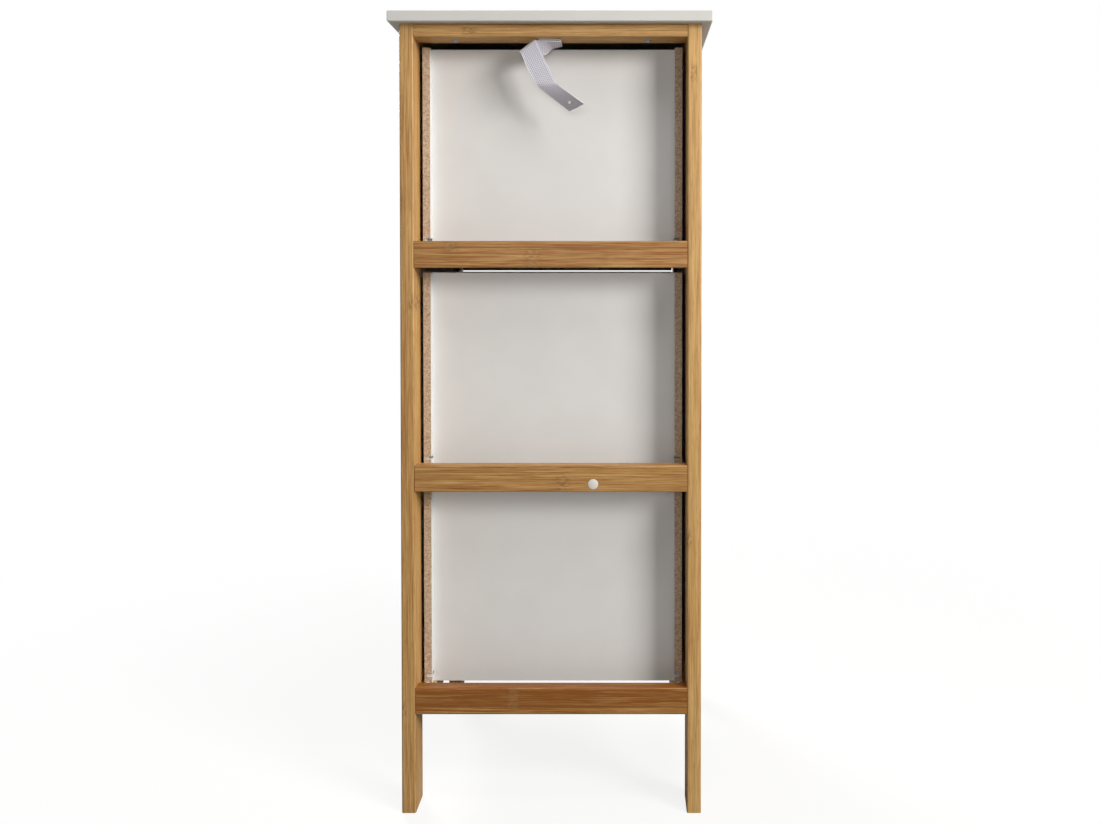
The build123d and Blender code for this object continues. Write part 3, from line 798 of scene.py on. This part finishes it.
# Strap: both edges of the webbing, as X, distance in from the rear plane, and drop below the top
# rail, in millimetres. Screwed flat under the rail, doubled back, twisted away and folded once more.
STRAP_EDGES = [
    ((14.0, 7.5, 0.7), (14.0, 29.5, 0.7)),
    ((-9.5, 7.5, 0.7), (-9.5, 29.5, 0.7)),
    ((-11.6, 7.5, 2.1), (-11.6, 29.5, 2.3)),
    ((-9.5, 7.6, 3.5), (-9.5, 29.3, 4.0)),
    ((-4.3, 7.8, 2.8), (-0.7, 29.0, 5.0)),
    ((2.9, 7.6, 2.4), (3.8, 26.5, 10.2)),
    ((9.9, 7.4, 2.2), (8.4, 20.5, 17.5)),
    ((16.6, 7.6, 2.2), (33.4, 7.6, 15.4)),
    ((18.2, 6.0, 1.9), (35.1, 6.0, 15.0)),
    ((16.8, 4.4, 3.4), (33.6, 4.4, 16.6)),
    ((6.7, 3.0, 25.0), (27.5, 3.5, 31.7)),
    ((-5.0, 0.0, 49.5), (16.6, 1.0, 51.7)),
    ((-8.0, -3.0, 53.6), (12.9, 2.5, 56.6)),
    ((-38.3, -8.9, 76.2), (-20.9, 3.0, 82.3)),
]

FIRST_CREASE = 7            # the rows from here on lie in crisp folds and straight runs
FOLD_CREASE = 0.8
STRAP_COLUMNS = 8
HOLE_RADIUS = 1.6 * MM
HOLE_FROM_END = 10.0 * MM


def strap_rows(shape):
    """Rows of vertices across the webbing, each with the length of strap before it."""
    rows, travelled, before = [], 0.0, None
    for edges in STRAP_EDGES:
        near, far = (Vector((x * MM, REAR - inwards * MM, TOP_RAIL_UNDERSIDE - drop * MM))
                     for x, inwards, drop in edges)
        middle = (near + far) / 2
        if before is not None:
            travelled += (middle - before).length
        before = middle
        rows.append(([shape.verts.new(near.lerp(far, column / STRAP_COLUMNS))
                      for column in range(STRAP_COLUMNS + 1)], travelled))
    return rows


def weave_faces(shape, rows):
    """Joins the rows with faces, whose UV map is the flat webbing in metres."""
    weave = shape.loops.layers.uv.new("weave")
    for (verts, start), (next_verts, end) in zip(rows, rows[1:]):
        for column in range(STRAP_COLUMNS):
            face = shape.faces.new((verts[column], verts[column + 1], next_verts[column + 1],
                                    next_verts[column]))
            corners = ((column, start), (column + 1, start), (column + 1, end), (column, end))
            for loop, (corner, along) in zip(face.loops, corners):
                loop[weave].uv = (corner / STRAP_COLUMNS * STRAP_WIDTH, along)


def crease_folds(shape, rows):
    """Keeps the selvedges and the later rows crisp when the cloth is subdivided."""
    crease = shape.edges.layers.float.new("crease_edge")
    crisp = {edge for edge in shape.edges if edge.is_boundary}
    for verts, _ in rows[FIRST_CREASE:]:
        crisp |= {shape.edges.get(pair) for pair in zip(verts, verts[1:])}
    for edge in crisp:
        edge[crease] = FOLD_CREASE


def hole_place(rows):
    """The matrix of the punched hole: in from the free end, and square to the cloth."""
    (near, far), (end_near, end_far) = ((verts[0].co, verts[-1].co) for verts, _ in rows[-2:])
    end = (end_near + end_far) / 2
    run = (end - (near + far) / 2).normalized()
    return aimed(end - run * HOLE_FROM_END, run.cross(end_far - end_near))


def punch_hole(context, strap, place):
    """Cuts a round hole through the finished cloth, and keeps the result as the strap's mesh."""
    punch = bmesh.new()
    bmesh.ops.create_cone(punch, cap_ends=True, segments=24, radius1=HOLE_RADIUS,
                          radius2=HOLE_RADIUS, depth=2 * HOLE_RADIUS, matrix=place)
    punch_mesh = bpy.data.meshes.new("hole_punch")
    punch.to_mesh(punch_mesh)
    punch.free()
    puncher = bpy.data.objects.new("hole_punch", punch_mesh)
    context.scene.collection.objects.link(puncher)
    hole = strap.modifiers.new("punched hole", "BOOLEAN")
    hole.operation, hole.solver, hole.object = "DIFFERENCE", "EXACT", puncher
    context.view_layer.update()
    whole = strap.data
    cut = strap.evaluated_get(context.evaluated_depsgraph_get())
    punched = bpy.data.meshes.new_from_object(cut)
    strap.modifiers.clear()
    strap.data = punched
    bpy.data.objects.remove(puncher)
    for mesh in (punch_mesh, whole):
        bpy.data.meshes.remove(mesh)


class CHEST_OT_strap(ChestOperator, bpy.types.Operator):
    """Folded webbing strap under the rear top rail, with its screw"""

    bl_idname = "chest.strap"
    bl_label = "Anti-tip strap"

    def execute(self, context):
        shape = bmesh.new()
        rows = strap_rows(shape)
        weave_faces(shape, rows)
        crease_folds(shape, rows)
        place = hole_place(rows)
        strap = finish_piece(shape, "webbing_strap", "chest", woven_webbing(),
                             "anti_tip_strap")
        soften = strap.modifiers.new("soft folds", "SUBSURF")
        soften.levels = soften.render_levels = 3
        cloth = strap.modifiers.new("webbing thickness", "SOLIDIFY")
        cloth.thickness, cloth.offset = context.scene.chest_sizes.strap_thickness, 0.0
        punch_hole(context, strap, place)

        low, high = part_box("strap_screw")
        middle = (low + high) / 2
        shape = bmesh.new()
        pan_screw(shape, "strap", high.z - low.z,
                  aimed((middle.x, middle.y, low.z + head_height("strap")), (0, 0, -1)))
        finish_piece(shape, "strap_pan_screw", "chest", zinc_plated_steel(),
                     "strap_screw")
        return {"FINISHED"}


class CHEST_OT_paper_dot(ChestOperator, bpy.types.Operator):
    """Bare round paper dot on the middle rear rail"""

    bl_idname = "chest.paper_dot"
    bl_label = "Paper dot"

    def execute(self, context):
        low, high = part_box("paper_dot")
        middle, radius, rise = (low + high) / 2, (high.x - low.x) / 2, high.y - low.y
        shape = bmesh.new()
        turned_piece(shape, [(0, 0), (radius - 0.1 * MM, 0), (radius, 0.1 * MM),
                             (radius, rise - 0.1 * MM), (radius - 0.2 * MM, rise), (0, rise)],
                     aimed((middle.x, low.y, middle.z), (0, 1, 0)), 48)
        finish_piece(shape, "bare_paper_dot", "chest", matte_paper(), "paper_dot")
        return {"FINISHED"}


def lamp(name, place, target, size, power, colour):
    """A square soft lamp aimed at a point."""
    light = bpy.data.lights.new(name, "AREA")
    light.shape, light.size, light.energy = "SQUARE", size, power
    light.color = linear(colour)[:3]
    holder = bpy.data.objects.new(name, light)
    holder.location = place
    holder.rotation_euler = (Vector(target) - Vector(place)).to_track_quat("-Z", "Y").to_euler()
    bpy.context.scene.collection.objects.link(holder)


# Each lamp's place, the point it is aimed at, its size in metres and its colour
CHEST_MIDDLE = (0.0, 0.1, 0.5)
LAMPS = {
    "side_lamp": ((-1.95, 1.5, 1.5), CHEST_MIDDLE, 0.9, "FFFCF8"),
    "top_lamp": ((-0.6, 1.0, 2.7), CHEST_MIDDLE, 0.8, "FFFFFF"),
    "front_lamp": ((1.3, -2.0, 1.6), (0.0, -0.1, 0.5), 0.9, "FFFFFF"),
    "near_lamp": ((0.0, 1.5, 0.8), CHEST_MIDDLE, 0.3, "FFFFFF"),
}
FLOOR_REACH = 12.0          # metres from the middle of the floor to its edge
SHADOW_START = 0.35         # metres from the middle at which the chest's shadow begins to fade,
SHADOW_END = 1.3            # and at which it is gone
NEAR_GLOW = 0.85            # share of plain white in the floor near the chest


def pale_floor():
    """Matte floor: grey to the light that bounces, and near white to the camera, wholly so away from
    the chest, with the chest's shadow kept near its feet."""
    material = new_material("matte_pale_floor")
    seen = add_node(material, "ShaderNodeLightPath").outputs["Is Camera Ray"]
    surface = add_node(material, "ShaderNodeTexCoord").outputs["Object"]
    away = add_node(material, "ShaderNodeVectorMath", {"operation": "LENGTH", 0: surface})
    plain = add_node(material, "ShaderNodeMapRange",
                     {"interpolation_type": "SMOOTHSTEP", "From Min": SHADOW_START,
                      "From Max": SHADOW_END, "To Min": NEAR_GLOW, "To Max": 1.0,
                      "Value": away.outputs["Value"]})
    share = add_node(material, "ShaderNodeMath", {"operation": "MULTIPLY", 0: seen, 1: plain})
    colour = add_node(material, "ShaderNodeMix",
                      {"data_type": "RGBA", 0: seen, 6: linear("9A9A98"), 7: linear("FAFAF8")})
    matte = add_node(material, "ShaderNodeBsdfDiffuse", {"Color": colour.outputs[2]})
    glow = add_node(material, "ShaderNodeEmission", {"Color": linear("FFFFFF"), "Strength": 1.0})
    mixed = add_node(material, "ShaderNodeMixShader", {0: share, 1: matte, 2: glow})
    add_node(material, "ShaderNodeOutputMaterial", {"Surface": mixed})
    return material


def white_room(fill):
    """Surroundings that are white to the camera, to metal and to glass, and a faint fill light."""
    world = bpy.data.worlds.new("white_room")
    world.use_nodes = True
    world.node_tree.nodes.clear()
    rays = add_node(world, "ShaderNodeLightPath")
    seen = rays.outputs["Is Camera Ray"]
    for kind in ("Is Glossy Ray", "Is Transmission Ray"):
        seen = add_node(world, "ShaderNodeMath", {"operation": "MAXIMUM", 0: seen, 1: rays.outputs[kind]})
    strength = add_node(world, "ShaderNodeMapRange", {"To Min": fill, "To Max": 1.0, "Value": seen})
    sky = add_node(world, "ShaderNodeBackground", {"Color": linear("FFFFFF"), "Strength": strength})
    add_node(world, "ShaderNodeOutputWorld", {"Surface": sky})
    return world


class CHEST_OT_stage(ChestOperator, bpy.types.Operator):
    """Pale floor, white surroundings, soft lamps and the camera behind the chest"""

    bl_idname = "chest.stage"
    bl_label = "Stage"

    def execute(self, context):
        scene, stage = context.scene, context.scene.chest_stage
        scene.view_settings.view_transform = "Standard"

        ground = bmesh.new()
        bmesh.ops.create_grid(ground, x_segments=1, y_segments=1, size=FLOOR_REACH)
        mesh = bpy.data.meshes.new("floor")
        ground.to_mesh(mesh)
        ground.free()
        mesh.materials.append(pale_floor())
        floor = bpy.data.objects.new("floor", mesh)
        scene.collection.objects.link(floor)
        scene.world = white_room(stage.fill)
        for name, (place, target, size, colour) in LAMPS.items():
            lamp(name, place, target, size, getattr(stage, name), colour)

        camera = bpy.data.cameras.new("rear_camera")
        camera.sensor_width, camera.lens = 36.0, stage.lens
        camera.shift_x, camera.shift_y = stage.shift_x, stage.shift_y
        holder = bpy.data.objects.new("rear_camera", camera)
        holder.location = stage.camera_place
        holder.rotation_euler = (math.pi / 2 - stage.camera_dip, 0.0, math.pi)
        scene.collection.objects.link(holder)
        scene.camera = holder
        return {"FINISHED"}


OPERATORS = (CHEST_OT_bamboo_frame, CHEST_OT_boards, CHEST_OT_drawer_boxes, CHEST_OT_knobs,
             CHEST_OT_frame_fasteners, CHEST_OT_runners, CHEST_OT_drawer_fasteners, CHEST_OT_strap,
             CHEST_OT_paper_dot, CHEST_OT_stage)
GROUPS = {"chest_colours": ChestColours, "chest_sizes": ChestSizes, "chest_stage": ChestStage}


class CHEST_PT_panel(bpy.types.Panel):
    """Lists the chest's pieces, colours and sizes in the sidebar"""

    bl_idname = "CHEST_PT_panel"
    bl_label = "Bathroom chest of drawers"
    bl_space_type = "VIEW_3D"
    bl_region_type = "UI"
    bl_category = "Chest"

    def draw(self, context):
        for operator in OPERATORS:
            self.layout.operator(operator.bl_idname)
        for group_name, group in GROUPS.items():
            values = getattr(context.scene, group_name)
            box = self.layout.box()
            for name in group.__annotations__:
                box.prop(values, name)


def register():
    for cls in (*GROUPS.values(), *OPERATORS, CHEST_PT_panel):
        bpy.utils.register_class(cls)
    for name, group in GROUPS.items():
        setattr(bpy.types.Scene, name, bpy.props.PointerProperty(type=group))


def unregister():
    for name in GROUPS:
        delattr(bpy.types.Scene, name)
    for cls in reversed((*GROUPS.values(), *OPERATORS, CHEST_PT_panel)):
        bpy.utils.unregister_class(cls)


def main():
    register()
    for operator in OPERATORS:
        group, name = operator.bl_idname.split(".")
        getattr(getattr(bpy.ops, group), name)()


if __name__ == "__main__":
    main()
